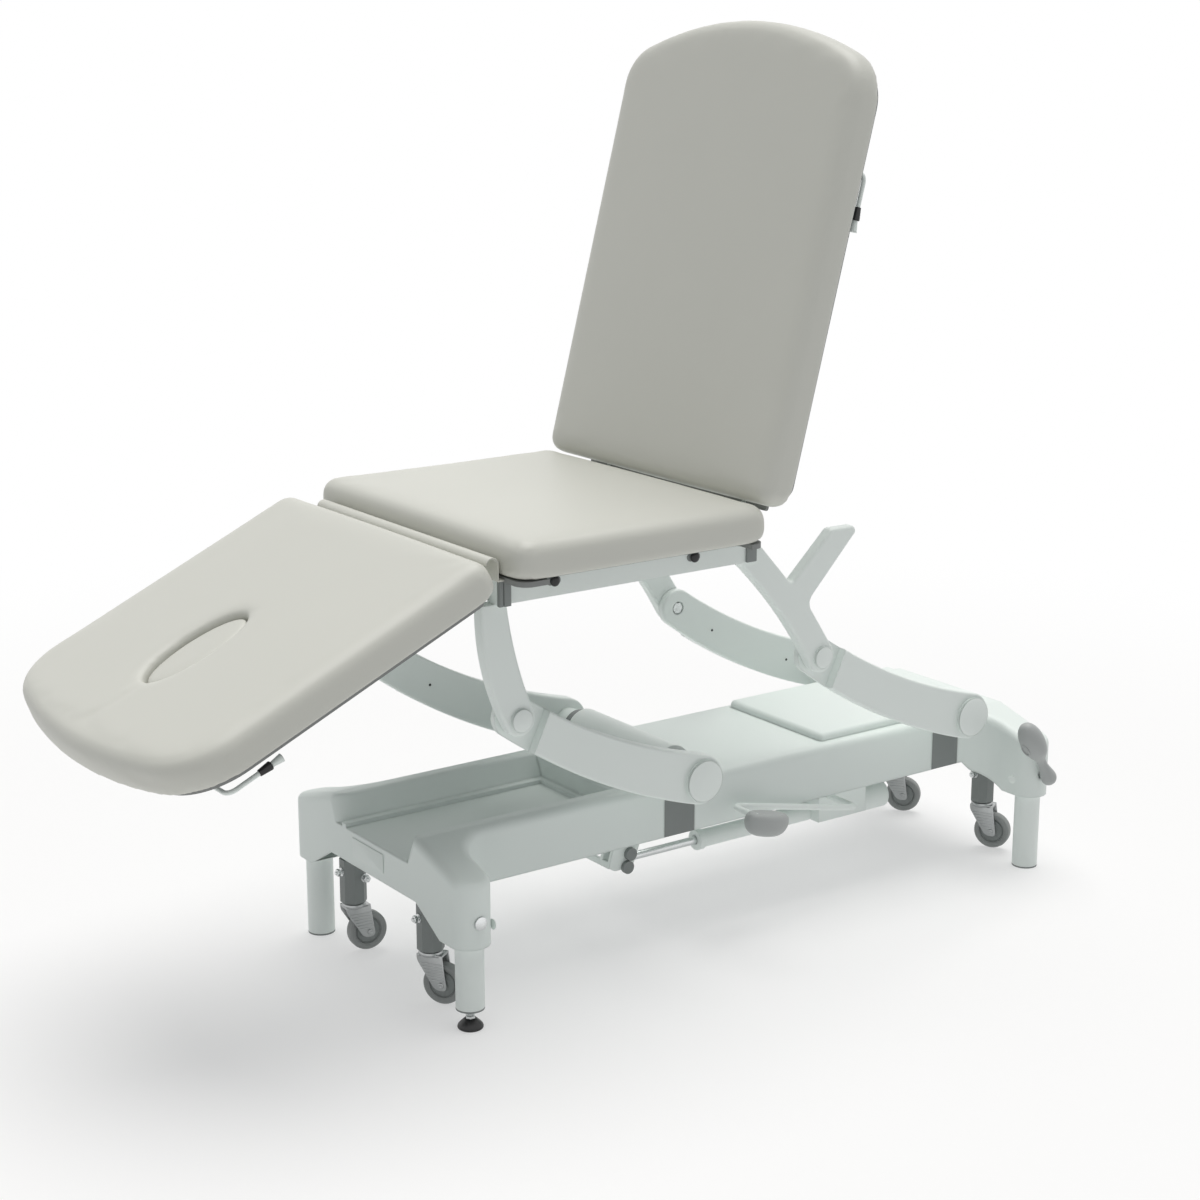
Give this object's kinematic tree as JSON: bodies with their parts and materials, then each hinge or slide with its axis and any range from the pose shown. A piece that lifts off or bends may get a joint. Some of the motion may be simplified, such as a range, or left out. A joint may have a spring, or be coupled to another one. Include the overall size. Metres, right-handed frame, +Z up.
{
  "type": "treatment couch",
  "caption": "Height-adjustable treatment couch with a reclining backrest, level seat, tilting leg section with breathing hole, moulded base tray and retracting castors.",
  "frame": {"origin": "middle of the overall box on the floor", "axes": "+X towards the backrest end, +Y to the far side away from the pedals, +Z up"},
  "size_m": [1.9894, 0.69, 1.6882],
  "materials": {
    "cover": "smooth satin moulding",
    "frame_paint": "pale powder coat",
    "grey_plastic": "fine matt grain",
    "pale_plastic": "satin",
    "black_plastic": "satin black",
    "vinyl": "smooth wipe-clean upholstery cover",
    "board": "flat mid-grey backing",
    "zinc": "bright zinc plate",
    "wheel_rubber": "grey non-marking tread"
  },
  "bodies": {
    "base": {"base_cover": "cover", "chassis_frame": "frame_paint", "tray_bearers": "frame_paint", "pivot_towers": "grey_plastic", "leg_tubes": "frame_paint", "leg_glides": "grey_plastic", "ram_cylinder": "frame_paint", "pump_block": "frame_paint"},
    "levelling_foot": {"levelling_foot": "black_plastic"},
    "front_arms": {"front_arm_near": "frame_paint", "front_arm_far": "frame_paint", "front_arm_caps": "pale_plastic", "front_torque_tube": "frame_paint", "crank_bushes": "grey_plastic"},
    "rear_arm_near": {"rear_arm_near": "frame_paint", "rear_arm_cap_near": "pale_plastic"},
    "rear_arm_far": {"rear_arm_far": "frame_paint", "rear_arm_cap_far": "pale_plastic"},
    "ram_rod": {"ram_rod": "zinc"},
    "pump_pedal": {"pump_pedal": "frame_paint", "pump_pedal_pad": "grey_plastic"},
    "front_castor_shaft": {"front_castor_shaft": "zinc"},
    "rear_castor_shaft": {"rear_castor_shaft": "zinc", "castor_pedal": "grey_plastic"},
    "castor_tie_rod": {"castor_tie_rod": "frame_paint"},
    "seat": {"seat_frame": "frame_paint", "rail_end_caps": "grey_plastic", "rail_knobs": "black_plastic", "front_brackets": "frame_paint", "rear_brackets": "frame_paint", "upper_pivot_bolts": "zinc", "upper_pivot_caps": "pale_plastic", "hinge_strip": "vinyl", "seat_board": "board", "seat_cushion": "vinyl", "leg_strut": "frame_paint", "back_strut": "frame_paint"},
    "leg_section": {"leg_frame": "frame_paint", "leg_board": "board", "leg_cushion": "vinyl"},
    "face_plug": {"face_plug": "vinyl"},
    "leg_release": {"leg_release": "frame_paint"},
    "back_section": {"back_frame": "frame_paint", "back_board": "board", "back_cushion": "vinyl"},
    "back_release": {"back_release": "frame_paint"},
    "leg_strut_rod": {"leg_strut_rod": "zinc"},
    "back_strut_rod": {"back_strut_rod": "zinc"},
    "castor_carrier_near_left": {"castor_sleeve_near_left": "grey_plastic"},
    "castor_swivel_near_left": {"castor_fork_near_left": "zinc"},
    "castor_wheel_near_left": {"castor_wheel_near_left": "wheel_rubber"},
    "castor_carrier_far_left": {"castor_sleeve_far_left": "grey_plastic"},
    "castor_swivel_far_left": {"castor_fork_far_left": "zinc"},
    "castor_wheel_far_left": {"castor_wheel_far_left": "wheel_rubber"},
    "castor_carrier_near_right": {"castor_sleeve_near_right": "grey_plastic"},
    "castor_swivel_near_right": {"castor_fork_near_right": "zinc"},
    "castor_wheel_near_right": {"castor_wheel_near_right": "wheel_rubber"},
    "castor_carrier_far_right": {"castor_sleeve_far_right": "grey_plastic"},
    "castor_swivel_far_right": {"castor_fork_far_right": "zinc"},
    "castor_wheel_far_right": {"castor_wheel_far_right": "wheel_rubber"}
  },
  "joints": [
    {"name": "foot_turn", "type": "hinge", "parent": "base", "child": "levelling_foot", "pos_m": [-0.4, -0.265, 0.008], "axis": [0, 0, 1], "continuous": true},
    {"name": "lift", "type": "hinge", "parent": "base", "child": "front_arms", "pos_m": [0.128, 0, 0.337], "axis": [0, 1, 0], "range_deg": [-37, 21]},
    {"name": "rear_near_lift", "type": "hinge", "parent": "base", "child": "rear_arm_near", "pos_m": [0.806, -0.2, 0.337], "axis": [0, 1, 0], "range_deg": [-37, 21]},
    {"name": "rear_far_lift", "type": "hinge", "parent": "base", "child": "rear_arm_far", "pos_m": [0.806, 0.2, 0.337], "axis": [0, 1, 0], "range_deg": [-37, 21]},
    {"name": "seat_level", "type": "hinge", "parent": "front_arms", "child": "seat", "pos_m": [-0.275, 0, 0.528], "axis": [0, 1, 0], "range_deg": [-21, 37]},
    {"name": "ram_slide", "type": "slide", "parent": "base", "child": "ram_rod", "axis": [-1, 0, 0], "range_m": [-0.117, 0.067]},
    {"name": "leg_tilt", "type": "hinge", "parent": "seat", "child": "leg_section", "pos_m": [-0.357, 0, 0.82], "axis": [0, 1, 0], "range_deg": [-5.5, 54.5]},
    {"name": "leg_strut_slide", "type": "slide", "parent": "seat", "child": "leg_strut_rod", "axis": [-1, 0, 0], "range_m": [-0.008, 0.07]},
    {"name": "back_recline", "type": "hinge", "parent": "seat", "child": "back_section", "pos_m": [0.204, 0, 0.82], "axis": [0, 1, 0], "range_deg": [0, 75.28]},
    {"name": "back_strut_slide", "type": "slide", "parent": "seat", "child": "back_strut_rod", "axis": [-1, 0, 0], "range_m": [-0.001, 0.093]},
    {"name": "face_plug_lift", "type": "slide", "parent": "leg_section", "child": "face_plug", "axis": [-0.4147, 0, 0.91], "range_m": [0, 0.08]},
    {"name": "leg_release_pull", "type": "hinge", "parent": "leg_section", "child": "leg_release", "pos_m": [-0.85974, -0.17, 0.52935], "axis": [0, -1, 0], "range_deg": [0, 8], "stiffness_Nm_per_rad": 2, "springref_deg": -6.88},
    {"name": "back_release_pull", "type": "hinge", "parent": "back_section", "child": "back_release", "pos_m": [0.42078, -0.17, 1.42477], "axis": [0, 1, 0], "range_deg": [0, 8], "stiffness_Nm_per_rad": 2, "springref_deg": -6.88},
    {"name": "pump_pedal_press", "type": "hinge", "parent": "base", "child": "pump_pedal", "pos_m": [0.555, -0.072, 0.1815], "axis": [0, -1, 0], "range_deg": [0, 22], "stiffness_Nm_per_rad": 30, "springref_deg": -11.46},
    {"name": "castor_pedal_turn", "type": "hinge", "parent": "base", "child": "rear_castor_shaft", "pos_m": [0.948, 0, 0.205], "axis": [0, 1, 0], "range_deg": [0, 80]},
    {"name": "front_castor_turn", "type": "hinge", "parent": "base", "child": "front_castor_shaft", "pos_m": [-0.4, 0, 0.205], "axis": [0, 1, 0], "range_deg": [0, 80]},
    {"name": "tie_rod_swing", "type": "hinge", "parent": "rear_castor_shaft", "child": "castor_tie_rod", "pos_m": [0.96728, 0.0646, 0.18202], "axis": [0, 1, 0], "range_deg": [-80, 0]},
    {"name": "carrier_slide_near_left", "type": "slide", "parent": "base", "child": "castor_carrier_near_left", "axis": [0, 0, -1], "range_m": [0, 0.0104]},
    {"name": "swivel_near_left", "type": "hinge", "parent": "castor_carrier_near_left", "child": "castor_swivel_near_left", "pos_m": [-0.4, -0.137, 0.115], "axis": [0, 0, 1], "continuous": true},
    {"name": "roll_near_left", "type": "hinge", "parent": "castor_swivel_near_left", "child": "castor_wheel_near_left", "pos_m": [-0.38566, -0.15748, 0.0415], "axis": [0.8192, 0.5736, 0], "continuous": true},
    {"name": "carrier_slide_far_left", "type": "slide", "parent": "base", "child": "castor_carrier_far_left", "axis": [0, 0, -1], "range_m": [0, 0.0104]},
    {"name": "swivel_far_left", "type": "hinge", "parent": "castor_carrier_far_left", "child": "castor_swivel_far_left", "pos_m": [-0.4, 0.137, 0.115], "axis": [0, 0, 1], "continuous": true},
    {"name": "roll_far_left", "type": "hinge", "parent": "castor_swivel_far_left", "child": "castor_wheel_far_left", "pos_m": [-0.3751, 0.13482, 0.0415], "axis": [0.0872, 0.9962, 0], "continuous": true},
    {"name": "carrier_slide_near_right", "type": "slide", "parent": "base", "child": "castor_carrier_near_right", "axis": [0, 0, -1], "range_m": [0, 0.0104]},
    {"name": "swivel_near_right", "type": "hinge", "parent": "castor_carrier_near_right", "child": "castor_swivel_near_right", "pos_m": [0.948, -0.137, 0.115], "axis": [0, 0, 1], "continuous": true},
    {"name": "roll_near_right", "type": "hinge", "parent": "castor_swivel_near_right", "child": "castor_wheel_near_right", "pos_m": [0.9605, -0.15865, 0.0415], "axis": [0.866, 0.5, 0], "continuous": true},
    {"name": "carrier_slide_far_right", "type": "slide", "parent": "base", "child": "castor_carrier_far_right", "axis": [0, 0, -1], "range_m": [0, 0.0104]},
    {"name": "swivel_far_right", "type": "hinge", "parent": "castor_carrier_far_right", "child": "castor_swivel_far_right", "pos_m": [0.948, 0.137, 0.115], "axis": [0, 0, 1], "continuous": true},
    {"name": "roll_far_right", "type": "hinge", "parent": "castor_swivel_far_right", "child": "castor_wheel_far_right", "pos_m": [0.96407, 0.11785, 0.0415], "axis": [0.766, 0.6428, 0], "continuous": true}
  ],
  "couplings": [
    {"joint": "rear_near_lift", "follows": "lift", "ratio": 1},
    {"joint": "rear_far_lift", "follows": "lift", "ratio": 1},
    {"joint": "seat_level", "follows": "lift", "ratio": -1},
    {"joint": "ram_slide", "follows": "lift", "m_per_rad": 0.1785},
    {"joint": "leg_strut_slide", "follows": "leg_tilt", "m_per_rad": 0.072},
    {"joint": "back_strut_slide", "follows": "back_recline", "m_per_rad": 0.0697},
    {"joint": "front_castor_turn", "follows": "castor_pedal_turn", "ratio": 1},
    {"joint": "tie_rod_swing", "follows": "castor_pedal_turn", "ratio": -1},
    {"joint": "carrier_slide_near_left", "follows": "castor_pedal_turn", "m_per_rad": 0.007366},
    {"joint": "carrier_slide_far_left", "follows": "castor_pedal_turn", "m_per_rad": 0.007366},
    {"joint": "carrier_slide_near_right", "follows": "castor_pedal_turn", "m_per_rad": 0.007366},
    {"joint": "carrier_slide_far_right", "follows": "castor_pedal_turn", "m_per_rad": 0.007366}
  ]
}
